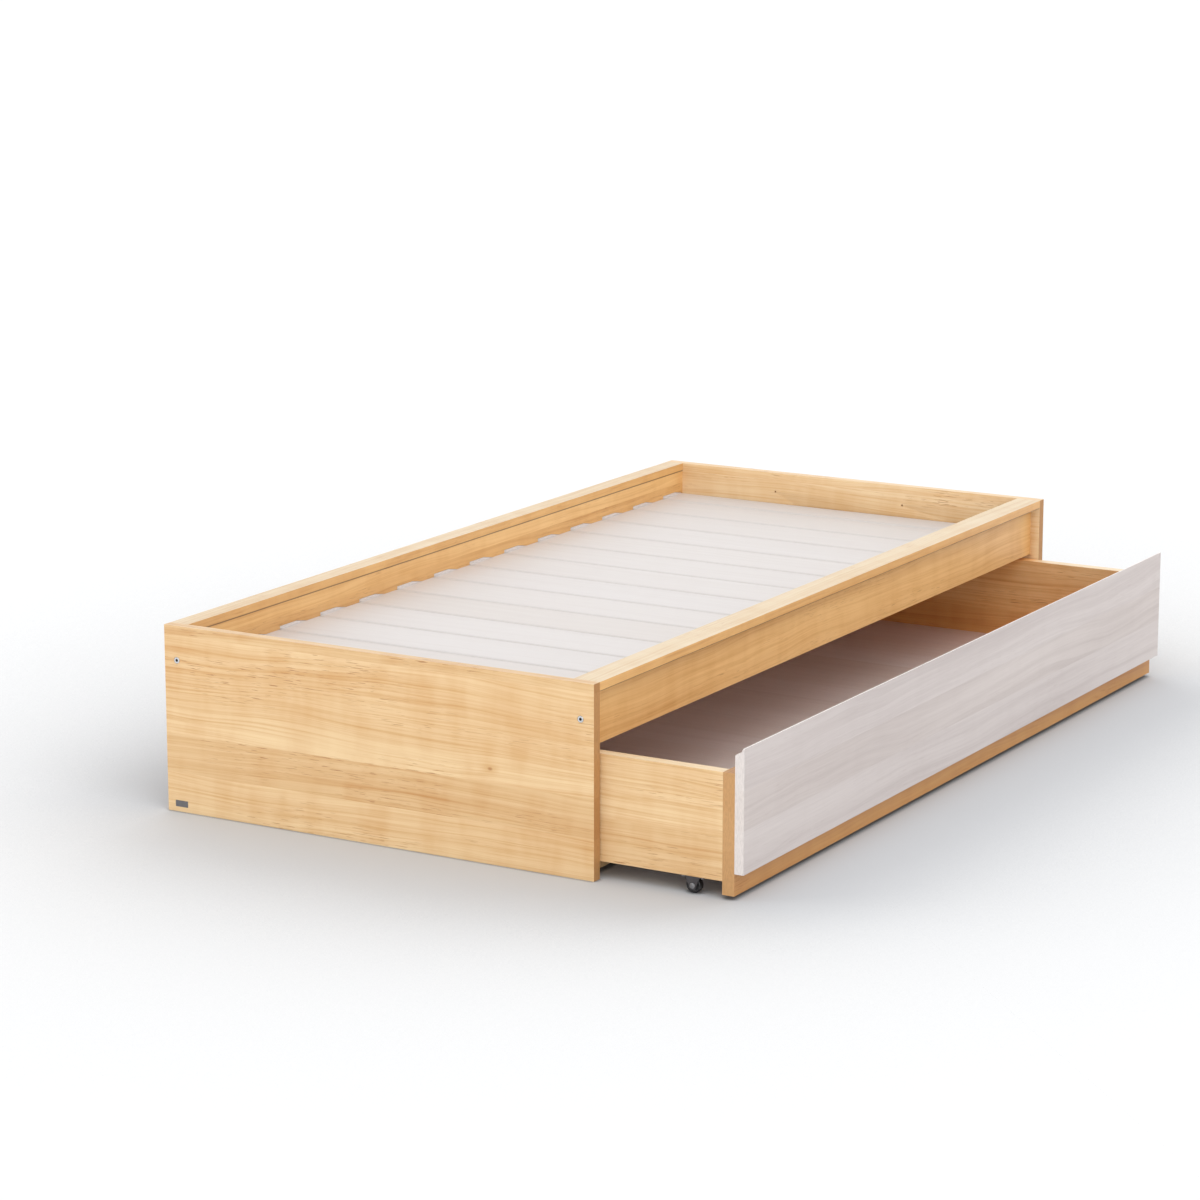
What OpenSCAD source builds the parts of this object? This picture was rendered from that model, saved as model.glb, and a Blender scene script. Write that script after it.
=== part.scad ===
// Daybed with a roll-out trundle drawer under it.
// X runs along the bed, -Y is the side the drawer comes out of, and Z is up from the floor.
// The origin is on the floor at the middle of the footprint, with the drawer part-way out.

/* [Bed frame] */
// Overall length of the bed, over both end panels
bed_l = 2060; // [1800:1:2500]
// Overall width of the bed, over the end panels
bed_w = 984; // [780:1:1250]
// Overall height of the end panels
bed_h = 380; // [350:1:470]
// Thickness of each end panel
panel_t = 22; // [18:0.5:32]

/* [Rails and caps] */
// Thickness of each side rail
rail_t = 20; // [18:0.5:30]
// Height of each side rail, below its cap
rail_h = 110; // [95:1:115]
// Distance of each rail's outer face behind the ends of the panels
rail_setback = 22; // [21:0.5:40]
// Thickness of the two cap strips
cap_t = 18; // [15:0.5:26]
// Width of the front cap strip
cap_front_w = 57; // [50:1:90]
// Width of the back cap strip
cap_back_w = 43; // [43:1:90]

/* [Slats] */
// Depth of the mattress well, from the top of the panels to the slats
well_depth = 73; // [60:1:85]
// Thickness of a slat
slat_t = 18; // [14:0.5:24]
// Width of a whole slat
slat_w = 144; // [70:1:170]
// Gap between two slats
slat_gap = 2; // [1:0.5:60]
// Gap between the left end panel and the first slat
first_gap = 22.5; // [2:0.5:60]
// Gap between the last slat and the right end panel
last_gap = 2; // [1:0.5:30]
// Depth of the housing that a slat end enters in a rail
housing_depth = 15; // [8:0.5:15]
// Depth of a housing that lies beside a threaded insert, at the ends of the rails
end_housing_depth = 8; // [4:0.5:8]
// Height of the open part of the housing above a slat
housing_rise = 7; // [3:0.5:12]
// Length of the level part of a housing's top edge
housing_land = 60; // [20:1:65]
// Length of the sloping part of a housing's top edge
housing_ramp = 36; // [0:1:50]
// Gap between a slat's end and the bottom of its housing
slat_end_gap = 1; // [0.5:0.5:3]
// Clearance between a slat's wedge and the edge of its housing
wedge_gap = 0.5; // [0.3:0.1:1]
// Depth of the batten under the slats
batten_w = 20; // [15:1:35]
// Height of the batten under the slats
batten_h = 25; // [18:1:35]

/* [Frame fittings] */
// Distance of each panel bolt from the long edge of its panel
bolt_inset = 29; // [28:0.5:30]
// Height of the panel bolts above the floor
bolt_z = 310; // [300:1:330]
// Diameter of a panel bolt
bolt_d = 6; // [5:0.5:7]
// Diameter of a bolt's round head
bolt_head_d = 12.5; // [11:0.5:16]
// Thickness of a bolt's head
bolt_head_t = 2.5; // [2:0.5:4]
// Clearance round a bolt's head in its counterbore, on the radius
bolt_head_clear = 0.6; // [0.2:0.1:1]
// Width of the hexagon socket in a bolt's head
socket_af = 5; // [3:0.5:5.5]
// Outer diameter of the threaded insert in a rail's end
insert_d = 9; // [9:0.5:9.5]
// Length of the threaded insert
insert_l = 16; // [12:1:20]
// Diameter of the frame's dowels
dowel_d = 8; // [6:0.5:8]
// Length of a dowel in the end panel
dowel_in_panel = 14; // [10:1:15]
// Length of a dowel in the end of a rail
dowel_in_rail = 26; // [20:1:40]
// Number of dowels between each rail and its cap
cap_dowels_n = 5; // [3:1:8]
// Length of the cap dowels in the cap
dowel_in_cap = 11; // [8:1:12]
// Length of the cap dowels in the rail
cap_dowel_in_rail = 18; // [14:1:24]
// Width of the small blank plate on the left panel
plate_w = 30; // [20:1:50]
// Height of the blank plate
plate_h = 13; // [10:1:25]
// Thickness of the blank plate, which lies flush in the panel
plate_t = 1; // [0.5:0.1:2]
// Diameter of the pilot holes on the inside of the end panels
pilot_d = 5; // [3:0.5:8]
// Distance between the two pilot holes
pilot_spacing = 336; // [200:1:500]
// Distance of the pair of pilot holes behind the middle of the bed's width
pilot_offset = 27; // [-60:1:60]
// Height of the pilot holes above the floor
pilot_z = 334; // [325:1:345]

/* [Drawer] */
// Distance that the drawer's front stands out of the bed
pull_out = 302; // [0:1:700]
// Gap between the drawer and each end panel
drawer_side_gap = 4; // [3:0.5:10]
// Gap between the front panel and the rail when the drawer is shut
shut_gap = 1; // [0.5:0.5:3]
// Gap between the drawer's back and the back of the bed when it is shut
back_gap = 13; // [5:1:60]
// Thickness of the drawer's four boards
board_t = 25; // [18:0.5:32]
// Height of the drawer boards' top edges above the floor
drawer_top = 242; // [200:1:245]
// Height of the front board's lower edge above the floor
front_board_z = 8; // [5:0.5:20]
// Thickness of the white front panel
front_t = 19; // [16:0.5:20]
// Height of the front panel's lower edge above the floor
front_z = 51; // [30:1:80]
// Height of the front panel's outer top edge above the floor
front_top = 291; // [270:1:310]
// Drop of the finger bevel on the front panel's inner top edge
bevel_drop = 14; // [5:0.5:25]
// Width of the level land along the front panel's outer top edge
bevel_land = 3; // [2:0.5:6]
// Height of the top of the drawer's floor above the ground
floor_top = 59; // [56:0.5:75]
// Thickness of the drawer's floor
floor_t = 12; // [8:0.5:16]
// Gap round the drawer's floor
floor_gap = 1; // [0.5:0.5:3]
// Width of a floor cleat
cleat_w = 20; // [15:1:30]
// Thickness of the two cross rails under the floor
cross_t = 25; // [18:0.5:32]
// Distance of each cross rail from the nearer long board
cross_inset = 280; // [200:1:320]
// Height of the cross rails' lower edges above the ground
cross_z = 8; // [5:0.5:14]

/* [Casters] */
// Overall height of a caster, from the ground to the side board
caster_h = 34; // [32:0.5:40]
// Diameter of a caster wheel
wheel_d = 30; // [24:0.5:30]
// Width of a caster wheel
wheel_w = 14; // [8:0.5:14]
// Distance of a caster's centre from the nearer long board
caster_inset = 64; // [45:1:110]
// Length of a caster's mounting plate
caster_plate_l = 50; // [48:1:60]
// Width of a caster's mounting plate
caster_plate_w = 24; // [22:0.5:30]
// Thickness of a caster's steel
caster_steel = 2; // [1.5:0.1:2]
// Width of a fork cheek where it leaves the plate
cheek_top_w = 31; // [24:1:34]
// Diameter of a caster's axle
axle_d = 4.8; // [4:0.1:6]
// Running clearance between an axle and its wheel, on the radius
axle_clear = 0.08; // [0.03:0.01:0.1]
// Gap between a wheel and each fork cheek
cheek_gap = 0.8; // [0.4:0.1:1.2]

/* [Screws and drawer dowels] */
// Shank diameter of the wood screws
screw_d = 4; // [3:0.5:5]
// Head diameter of the wood screws
screw_head_d = 8; // [7:0.5:10]
// Height of a countersunk screw head
screw_head_h = 2.4; // [2:0.1:3.5]
// Shank diameter of the small caster screws
caster_screw_d = 3; // [2.5:0.1:3.2]
// Length of a caster screw in the side board
caster_screw_l = 16; // [12:1:25]
// Number of screws along each slat batten
batten_screws_n = 7; // [4:1:10]
// Number of screws through the front board into the front panel
front_screws_n = 6; // [4:1:10]
// Depth of the front screws in the front panel
front_screw_bite = 12; // [8:1:14]
// Diameter of the dowels that hold the cross rails
cross_dowel_d = 6; // [5:0.5:8]
// Depth of a cross rail's dowel in a side board
cross_dowel_in_side = 14; // [10:1:16]
// Depth of a cross rail's dowel in the rail
cross_dowel_in_rail = 20; // [12:1:30]
// Diameter of the drawer's corner dowels
corner_dowel_d = 10; // [8:0.5:12]
// Number of dowels in each drawer corner
corner_dowels_n = 3; // [2:1:4]
// Depth of a corner dowel in each board
corner_dowel_half = 18; // [12:1:20]
// Clearance round a screw, bolt, insert or dowel in its hole, on the radius
hole_clear = 0.1; // [0.05:0.01:0.3]

/* [Hidden] */
$fn = 64;
// A cut runs this far past the face that it starts from.
over = 1;

// Bolt sockets, and the gap between a bolt's tip and the bottom of its hole.
hex_sides = 6;
socket_d = socket_af / cos(180 / hex_sides);
socket_depth = bolt_head_t * 0.8;
bolt_tip_gap = 1;

// Bed frame, worked out from the sizes above.
inner_l = bed_l - 2 * panel_t;
back_y = (bed_w + pull_out) / 2;
front_y = back_y - bed_w;
mid_y = (front_y + back_y) / 2;
rail_top = bed_h - cap_t;
rail_z = rail_top - rail_h;
slat_top = bed_h - well_depth;
slat_z = slat_top - slat_t;
rail_front_in = front_y + rail_setback + rail_t;
rail_back_in = back_y - rail_setback - rail_t;
rail_mid = rail_setback + rail_t / 2;

// Slats: whole ones at a fixed pitch, and a narrower one that fills what is left.
slat_pitch = slat_w + slat_gap;
slats_from = -inner_l / 2 + first_gap;
slats_to = inner_l / 2 - last_gap;
slat_min_w = 30;
whole_slats = floor((slats_to - slats_from + slat_gap) / slat_pitch);
rest_w = slats_to - slats_from - whole_slats * slat_pitch;
slats_n = whole_slats + (rest_w > slat_min_w ? 1 : 0);
function slat_x(i) = slats_from + (i - 1) * slat_pitch;
function width_of_slat(i) = min(slat_w, slats_to - slat_x(i));

// A slat whose housing would reach a threaded insert has shallow housings.
insert_wall = 5;
function clear_of_inserts(i) =
  max(-slat_x(i), slat_x(i) + width_of_slat(i)) <= inner_l / 2 - insert_l - insert_wall;
function depth_of_housing(i) = clear_of_inserts(i) ? housing_depth : end_housing_depth;
function length_of_slat(i) =
  rail_back_in - rail_front_in + 2 * (depth_of_housing(i) - slat_end_gap);
clear_slats = [for (i = [1:slats_n]) if (clear_of_inserts(i)) i];

// The housings' groove is a little longer than the run of slats, and the battens stop short of
// the end panels.
housing_end_gap = 0.5;
batten_end_gap = 2;

// Dowels at each rail end, below and above the bolt, and the reach of the rails' other fixings.
dowel_margin = 15;
rail_dowel_z = [rail_z + dowel_margin, rail_top - dowel_margin];
fixing_margin = 90;
rail_fixing_reach = inner_l / 2 - fixing_margin;
batten_screw_bite = rail_t * 0.7;

// Blank plate and pilot holes.
plate_inset = 18;
plate_z = 10;
pilot_depth = panel_t / 3;

// Drawer, worked out from the frame and the gaps round it.
drawer_l = inner_l - 2 * drawer_side_gap;
drawer_in_l = drawer_l - 2 * board_t;
panel_face_y = front_y - pull_out;
board_face_y = panel_face_y + front_t;
inside_y = board_face_y + board_t;
shut_inset = rail_setback - shut_gap - front_t;
drawer_in_w = bed_w - shut_inset - front_t - 2 * board_t - back_gap;
inside_back_y = inside_y + drawer_in_w;
side_z = caster_h;
floor_z = floor_top - floor_t;
cross_y = [inside_y + cross_inset, inside_back_y - cross_inset - cross_t];
bevel_shoulder = 2;
bevel_shoulder_drop = 6;
front_screw_z = (front_z + drawer_top) / 2;
front_screw_margin = 120;
cleat_screw_margin = 25;
cleat_screw_bite = board_t * 0.6;
corner_dowel_margin = 35;

// Casters stand under the middle of the side boards' thickness.
wheel_r = wheel_d / 2;
caster_x = drawer_l / 2 - board_t / 2;
cheek_out = wheel_w / 2 + cheek_gap + caster_steel;
caster_screw_edge = 4.5;
caster_screw_at = [caster_plate_w / 2 - caster_screw_edge, caster_plate_l / 2 - caster_screw_edge];
axle_head_d = 11;
axle_head_t = 1.2;
cheek_hub_r = 8;
hub_r = 5.5;
wheel_fn = 96;
tread_bevel = 1.5;
wheel_dish_r = wheel_r * 0.72;
wheel_dish = wheel_w * 0.12;
caster_screw_head_d = 5.4;
caster_screw_head_t = 1.4;
CORNERS = ["front_left", "front_right", "back_left", "back_right"];
corner_x = [-caster_x, caster_x, -caster_x, caster_x];
corner_y = [inside_y + caster_inset, inside_y + caster_inset,
            inside_back_y - caster_inset, inside_back_y - caster_inset];

// Cleat screws stand clear of the caster screws and of the cross rails.
caster_zone = caster_inset + caster_plate_l / 2 + cleat_screw_margin;
cleat_screw_y = [inside_y + caster_zone, cross_y[0] + cross_t + cleat_screw_margin,
                 cross_y[1] - cleat_screw_margin, inside_back_y - caster_zone];
cleat_mid_z = (side_z + floor_z) / 2;

// Board colours.
ALDER = "#d9a866";
ALDER_LIGHT = "#e6c48e";
WHITE_WOOD = "#dcd6d0";
STEEL = "silver";
DARK_STEEL = "#3a3a3c";
BLACK = "#1c1c1e";

function two_digits(i) = str(i < 10 ? "0" : "", i);
function slat_name(i) = str("slat_", two_digits(i));
function spread(n, reach) = [for (i = [0:n - 1]) -reach + 2 * reach * i / (n - 1)];

// A box given by its lowest corner and its size.
module block(at, size) {
  translate(at) cube(size);
}

// A round bar along X, Y or Z, from a point; a negative length runs the other way.
module bar_x(at, d, l) {
  translate([min(at[0], at[0] + l), at[1], at[2]]) rotate([0, 90, 0]) cylinder(h = abs(l), d = d);
}
module bar_y(at, d, l) {
  translate([at[0], max(at[1], at[1] + l), at[2]]) rotate([90, 0, 0]) cylinder(h = abs(l), d = d);
}
module bar_z(at, d, l) {
  translate([at[0], at[1], min(at[2], at[2] + l)]) cylinder(h = abs(l), d = d);
}

// ---- Fittings of the frame ----

// Places its children at the four bolt places of the end panels, with +X towards the bed's middle.
// The children are drawn for the left panel, with x = 0 on its outer face.
module at_bolts() {
  for (side = [0, 1], y = [front_y + bolt_inset, back_y - bolt_inset])
    translate([0, y, bolt_z]) mirror([side, 0, 0]) translate([-bed_l / 2, 0, 0]) children();
}

// The hole that a bolt and its insert need.
module bolt_hole() {
  bar_x([-over, 0, 0], bolt_head_d + 2 * bolt_head_clear, bolt_head_t + over);
  bar_x([0, 0, 0], bolt_d + 2 * hole_clear, panel_t + insert_l);
  bar_x([panel_t, 0, 0], insert_d + 2 * hole_clear, insert_l);
}

module panel_bolts() {
  color(STEEL) at_bolts() difference() {
    union() {
      bar_x([0, 0, 0], bolt_head_d, bolt_head_t);
      bar_x([bolt_head_t, 0, 0], bolt_d, panel_t + insert_l - bolt_head_t - bolt_tip_gap);
    }
    translate([-over, 0, 0]) rotate([0, 90, 0])
      cylinder(h = socket_depth + over, d = socket_d, $fn = hex_sides);
  }
}

module threaded_inserts() {
  color("goldenrod") at_bolts() difference() {
    bar_x([panel_t, 0, 0], insert_d, insert_l);
    bar_x([panel_t - over, 0, 0], bolt_d + 2 * hole_clear, insert_l + 2 * over);
  }
}

// Places its children at the eight dowels between rails and panels, as at_bolts does.
module at_rail_dowels() {
  for (side = [0, 1], y = [front_y + rail_mid, back_y - rail_mid], z = rail_dowel_z)
    translate([0, y, z]) mirror([side, 0, 0]) translate([-bed_l / 2 + panel_t, 0, 0]) children();
}

module rail_dowels() {
  color(ALDER_LIGHT) at_rail_dowels()
    bar_x([-dowel_in_panel, 0, 0], dowel_d, dowel_in_panel + dowel_in_rail);
}

module rail_dowel_holes() {
  at_rail_dowels()
    bar_x([-dowel_in_panel - hole_clear, 0, 0], dowel_d + 2 * hole_clear,
          dowel_in_panel + dowel_in_rail + 2 * hole_clear);
}

// Places its children at the dowels between rails and caps, with z = 0 on the joint.
module at_cap_dowels() {
  for (x = spread(cap_dowels_n, rail_fixing_reach), y = [front_y + rail_mid, back_y - rail_mid])
    translate([x, y, rail_top]) children();
}

module cap_dowels() {
  color(ALDER_LIGHT) at_cap_dowels()
    bar_z([0, 0, -cap_dowel_in_rail], dowel_d, cap_dowel_in_rail + dowel_in_cap);
}

module cap_dowel_holes() {
  at_cap_dowels()
    bar_z([0, 0, -cap_dowel_in_rail - hole_clear], dowel_d + 2 * hole_clear,
          cap_dowel_in_rail + dowel_in_cap + 2 * hole_clear);
}

// A countersunk wood screw along +Z, with its head's flat top at z = 0 and its shank below.
module wood_screw(l, grow = 0) {
  rotate_extrude() polygon([[0, 0], [screw_head_d / 2 + grow, 0],
    [screw_d / 2 + grow, -screw_head_h - grow], [screw_d / 2 + grow, -l - grow], [0, -l - grow]]);
}

// ---- Bed frame ----

// The blank plate, or the recess for it when grow is more than 0.
module plate_block(grow = 0) {
  block([-bed_l / 2 - grow, back_y - plate_inset - plate_w - grow, plate_z - grow],
        [plate_t + grow, plate_w + 2 * grow, plate_h + 2 * grow]);
}

module blank_plate() {
  color(STEEL) plate_block();
}

// An end panel; side is -1 for the left one and 1 for the right one.
module end_panel(side) {
  x0 = side < 0 ? -bed_l / 2 : bed_l / 2 - panel_t;
  color(ALDER) difference() {
    block([x0, front_y, 0], [panel_t, bed_w, bed_h]);
    at_bolts() bolt_hole();
    rail_dowel_holes();
    for (dy = [-pilot_spacing / 2, pilot_spacing / 2])
      bar_x([side * (inner_l / 2 - over), mid_y + pilot_offset + dy, pilot_z], pilot_d,
            side * (pilot_depth + over));
    if (side < 0) plate_block(hole_clear);
  }
}

module end_panel_left() { end_panel(-1); }
module end_panel_right() { end_panel(1); }

// The profile of one housing's open part, seen from the front: a level land, then a slope.
module housing_profile(w) {
  land = min(housing_land, w);
  foot = min(land + housing_ramp, w);
  foot_z = housing_rise * (1 - (housing_ramp > 0 ? (foot - land) / housing_ramp : 1));
  polygon([[0, -over], [0, housing_rise], [land, housing_rise], [foot, foot_z], [foot, -over]]);
}

// The groove for slats a to b, of a depth. It has y = 0 on a rail's inner face, and runs into
// the rail towards +Y.
module slat_groove(a, b, depth) {
  from = slat_x(a) - housing_end_gap;
  to = slat_x(b) + width_of_slat(b) + housing_end_gap;
  block([from, -over, slat_z], [to - from, depth + over, slat_t]);
}

// The cut that the slats' ends need: a groove, deeper clear of the inserts, with an open part
// above each slat.
module slat_housing() {
  slat_groove(1, slats_n, end_housing_depth);
  slat_groove(clear_slats[0], clear_slats[len(clear_slats) - 1], housing_depth);
  for (i = [1:slats_n])
    translate([slat_x(i), depth_of_housing(i), slat_top]) rotate([90, 0, 0])
      linear_extrude(height = depth_of_housing(i) + over) housing_profile(width_of_slat(i));
}

// A side rail, with its inner face at y and dir = 1 where its body lies towards +Y.
module side_rail(y, dir) {
  color(ALDER) difference() {
    translate([0, y, 0]) mirror([0, dir > 0 ? 0 : 1, 0]) difference() {
      block([-inner_l / 2, 0, rail_z], [inner_l, rail_t, rail_h]);
      slat_housing();
    }
    at_bolts() bolt_hole();
    rail_dowel_holes();
    cap_dowel_holes();
    batten_screw_holes();
  }
}

module front_rail() { side_rail(rail_front_in, -1); }
module back_rail() { side_rail(rail_back_in, 1); }

// A cap strip between the end panels, from y to y + w.
module cap(y, w) {
  color(ALDER_LIGHT) difference() {
    block([-inner_l / 2, y, rail_top], [inner_l, w, cap_t]);
    cap_dowel_holes();
  }
}

module front_cap() { cap(front_y, cap_front_w); }
module back_cap() { cap(back_y - cap_back_w, cap_back_w); }

// Places its children at the screws through the battens: z = 0 is a batten's inner face, and the
// screw points into the rail.
module at_batten_screws() {
  for (x = spread(batten_screws_n, rail_fixing_reach)) {
    translate([x, rail_front_in + batten_w, slat_z - batten_h / 2]) rotate([-90, 0, 0]) children();
    translate([x, rail_back_in - batten_w, slat_z - batten_h / 2]) rotate([90, 0, 0]) children();
  }
}

module batten_screws() {
  color(STEEL) at_batten_screws() wood_screw(batten_w + batten_screw_bite);
}

module batten_screw_holes() {
  at_batten_screws() wood_screw(batten_w + batten_screw_bite, hole_clear);
}

// A batten under the slats, on a rail's inner face.
module slat_batten(y) {
  color(ALDER) difference() {
    block([-inner_l / 2 + batten_end_gap, y, slat_z - batten_h],
          [inner_l - 2 * batten_end_gap, batten_w, batten_h]);
    batten_screw_holes();
  }
}

module slat_batten_front() { slat_batten(rail_front_in); }
module slat_batten_back() { slat_batten(rail_back_in - batten_w); }

module slat(i) {
  color(WHITE_WOOD)
    block([slat_x(i), mid_y - length_of_slat(i) / 2, slat_z],
          [width_of_slat(i), length_of_slat(i), slat_t]);
}

// The profile of a slat's wedge: the open part of the housing less the gap, on the slat's top.
module wedge_profile(w) {
  intersection() {
    translate([-wedge_gap, -wedge_gap]) housing_profile(w);
    translate([wedge_gap, 0]) square([w, housing_rise]);
  }
}

// The wedges over the slats' ends, flush with the rails' inner faces.
module slat_wedges() {
  color(WHITE_WOOD) for (i = [1:slats_n]) {
    l = depth_of_housing(i) - slat_end_gap;
    for (y = [rail_front_in, rail_back_in + l])
      translate([slat_x(i), y, slat_top]) rotate([90, 0, 0])
        linear_extrude(height = l) wedge_profile(width_of_slat(i));
  }
}

// ---- Drawer ----

// Places its children at the corner dowels: x = 0 is the joint between a side board's end and a
// long board, and +X runs into the long board.
module at_corner_dowels() {
  reach = (drawer_top - side_z) / 2 - corner_dowel_margin;
  for (x = [-caster_x, caster_x], z = spread(corner_dowels_n, reach)) {
    translate([x, inside_y, (drawer_top + side_z) / 2 + z]) rotate([0, 0, -90]) children();
    translate([x, inside_back_y, (drawer_top + side_z) / 2 + z]) rotate([0, 0, 90]) children();
  }
}

module corner_dowels() {
  color(ALDER_LIGHT) at_corner_dowels()
    bar_x([-corner_dowel_half, 0, 0], corner_dowel_d, 2 * corner_dowel_half);
}

module corner_dowel_holes() {
  at_corner_dowels()
    bar_x([-corner_dowel_half - hole_clear, 0, 0], corner_dowel_d + 2 * hole_clear,
          2 * (corner_dowel_half + hole_clear));
}

// A side board; side is -1 for the left one and 1 for the right one.
module drawer_side(side) {
  x0 = side < 0 ? -drawer_l / 2 : drawer_in_l / 2;
  color(ALDER) difference() {
    block([x0, inside_y, side_z], [board_t, drawer_in_w, drawer_top - side_z]);
    corner_dowel_holes();
    cross_dowel_holes();
    cleat_screw_holes();
    caster_screw_holes();
  }
}

module drawer_side_left() { drawer_side(-1); }
module drawer_side_right() { drawer_side(1); }

module drawer_front_board() {
  color(ALDER) difference() {
    block([-drawer_l / 2, board_face_y, front_board_z],
          [drawer_l, board_t, drawer_top - front_board_z]);
    corner_dowel_holes();
    front_screw_holes();
  }
}

module drawer_back_board() {
  color(ALDER) difference() {
    block([-drawer_l / 2, inside_back_y, side_z], [drawer_l, board_t, drawer_top - side_z]);
    corner_dowel_holes();
  }
}

// The section of the white front panel, with its bevelled finger grip on the inner top edge.
module front_panel_profile() {
  polygon([[0, front_z], [front_t, front_z], [front_t, front_top - bevel_drop],
           [bevel_land + bevel_shoulder, front_top - bevel_shoulder_drop],
           [bevel_land, front_top], [0, front_top]]);
}

module drawer_front_panel() {
  color(WHITE_WOOD) difference() {
    translate([-drawer_l / 2, panel_face_y, 0]) rotate([90, 0, 90])
      linear_extrude(height = drawer_l) front_panel_profile();
    front_screw_holes();
  }
}

// Places its children at the screws through the front board: z = 0 is the board's inner face, and
// the screw points into the front panel.
module at_front_screws() {
  for (x = spread(front_screws_n, drawer_in_l / 2 - front_screw_margin))
    translate([x, inside_y, front_screw_z]) rotate([-90, 0, 0]) children();
}

module front_panel_screws() {
  color(STEEL) at_front_screws() wood_screw(board_t + front_screw_bite);
}

module front_screw_holes() {
  at_front_screws() wood_screw(board_t + front_screw_bite, hole_clear);
}

module drawer_floor() {
  color(WHITE_WOOD)
    block([-drawer_in_l / 2 + floor_gap, inside_y + floor_gap, floor_z],
          [drawer_in_l - 2 * floor_gap, drawer_in_w - 2 * floor_gap, floor_t]);
}

// A cross rail under the floor, between the side boards, with its front face at y.
module cross_rail(y) {
  color(ALDER) difference() {
    block([-drawer_in_l / 2, y, cross_z], [drawer_in_l, cross_t, floor_z - cross_z]);
    cross_dowel_holes();
  }
}

module cross_rail_front() { cross_rail(cross_y[0]); }
module cross_rail_back() { cross_rail(cross_y[1]); }

// Places its children at the screws through the floor cleats: z = 0 is a cleat's inner face, and
// the screw points into the side board.
module at_cleat_screws() {
  for (y = cleat_screw_y, side = [-1, 1])
    translate([side * (drawer_in_l / 2 - cleat_w), y, cleat_mid_z])
      rotate([0, -side * 90, 0]) children();
}

module cleat_screws() {
  color(STEEL) at_cleat_screws() wood_screw(cleat_w + cleat_screw_bite);
}

module cleat_screw_holes() {
  at_cleat_screws() wood_screw(cleat_w + cleat_screw_bite, hole_clear);
}

// Places its children at the dowels in the cross rails' ends, with x = 0 on the joint and +X
// running into the side board.
module at_cross_dowels() {
  for (y = cross_y, side = [0, 1])
    mirror([side, 0, 0]) translate([drawer_in_l / 2, y + cross_t / 2, cleat_mid_z]) children();
}

module cross_rail_dowels() {
  color(ALDER_LIGHT) at_cross_dowels()
    bar_x([-cross_dowel_in_rail, 0, 0], cross_dowel_d, cross_dowel_in_rail + cross_dowel_in_side);
}

module cross_dowel_holes() {
  at_cross_dowels()
    bar_x([-cross_dowel_in_rail - hole_clear, 0, 0], cross_dowel_d + 2 * hole_clear,
          cross_dowel_in_rail + cross_dowel_in_side + 2 * hole_clear);
}

// The cleat along a side board that the floor rests on, in three lengths between the cross rails.
module floor_cleat(side) {
  x0 = side < 0 ? -drawer_in_l / 2 : drawer_in_l / 2 - cleat_w;
  color(ALDER) difference() {
    block([x0, inside_y, side_z], [cleat_w, drawer_in_w, floor_z - side_z]);
    for (y = cross_y) block([x0 - over, y, side_z - over],
                            [cleat_w + 2 * over, cross_t, floor_z - side_z + 2 * over]);
    cleat_screw_holes();
  }
}

module floor_cleat_left() { floor_cleat(-1); }
module floor_cleat_right() { floor_cleat(1); }

// ---- Casters ----

// Places its children at caster c, with z = 0 on the ground under the wheel.
module at_caster(c) {
  translate([corner_x[c], corner_y[c], 0]) children();
}

// The outline of a fork cheek, seen along X.
module cheek_profile() {
  top = caster_h - caster_steel;
  difference() {
    union() {
      polygon([[-cheek_top_w / 2, top], [-cheek_hub_r, wheel_r], [cheek_hub_r, wheel_r],
               [cheek_top_w / 2, top]]);
      translate([0, wheel_r]) circle(r = cheek_hub_r);
    }
    translate([0, wheel_r]) circle(d = axle_d);
  }
}

module caster_fork(c) {
  color(DARK_STEEL) at_caster(c) {
    difference() {
      block([-caster_plate_w / 2, -caster_plate_l / 2, caster_h - caster_steel],
            [caster_plate_w, caster_plate_l, caster_steel]);
      for (x = [-1, 1], y = [-1, 1])
        bar_z([x * caster_screw_at[0], y * caster_screw_at[1], caster_h - caster_steel - over],
              caster_screw_d + 2 * hole_clear, caster_steel + 2 * over);
    }
    for (x = [-cheek_out, cheek_out - caster_steel])
      translate([x, 0, 0]) rotate([90, 0, 90]) linear_extrude(height = caster_steel) cheek_profile();
  }
}

// The riveted axle, from cheek to cheek, with a round head outside each.
module caster_axle(c) {
  color(STEEL) at_caster(c) {
    bar_x([-cheek_out, 0, wheel_r], axle_d, 2 * cheek_out);
    for (side = [-1, 1])
      bar_x([side * cheek_out, 0, wheel_r], axle_head_d, side * axle_head_t);
  }
}

// The wheel's section: a rounded tread and a shallow dish on each side.
module wheel_section() {
  r = wheel_r;
  h = wheel_w / 2;
  bore = axle_d / 2 + axle_clear;
  dish = wheel_dish;
  polygon([[bore, -h], [hub_r, -h], [hub_r + dish, -h + dish], [wheel_dish_r, -h + dish],
           [wheel_dish_r + dish, -h], [r - tread_bevel, -h], [r, -h + tread_bevel],
           [r, h - tread_bevel], [r - tread_bevel, h], [wheel_dish_r + dish, h],
           [wheel_dish_r, h - dish], [hub_r + dish, h - dish], [hub_r, h], [bore, h]]);
}

module caster_wheel(c) {
  color(BLACK) at_caster(c) translate([0, 0, wheel_r]) rotate([0, 90, 0])
    rotate_extrude($fn = wheel_fn) wheel_section();
}

// Places its children at each screw of caster c, with z = 0 on the plate's underside.
module at_caster_screws(c) {
  for (x = [-1, 1], y = [-1, 1])
    translate([corner_x[c] + x * caster_screw_at[0], corner_y[c] + y * caster_screw_at[1],
               caster_h - caster_steel]) children();
}

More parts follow.
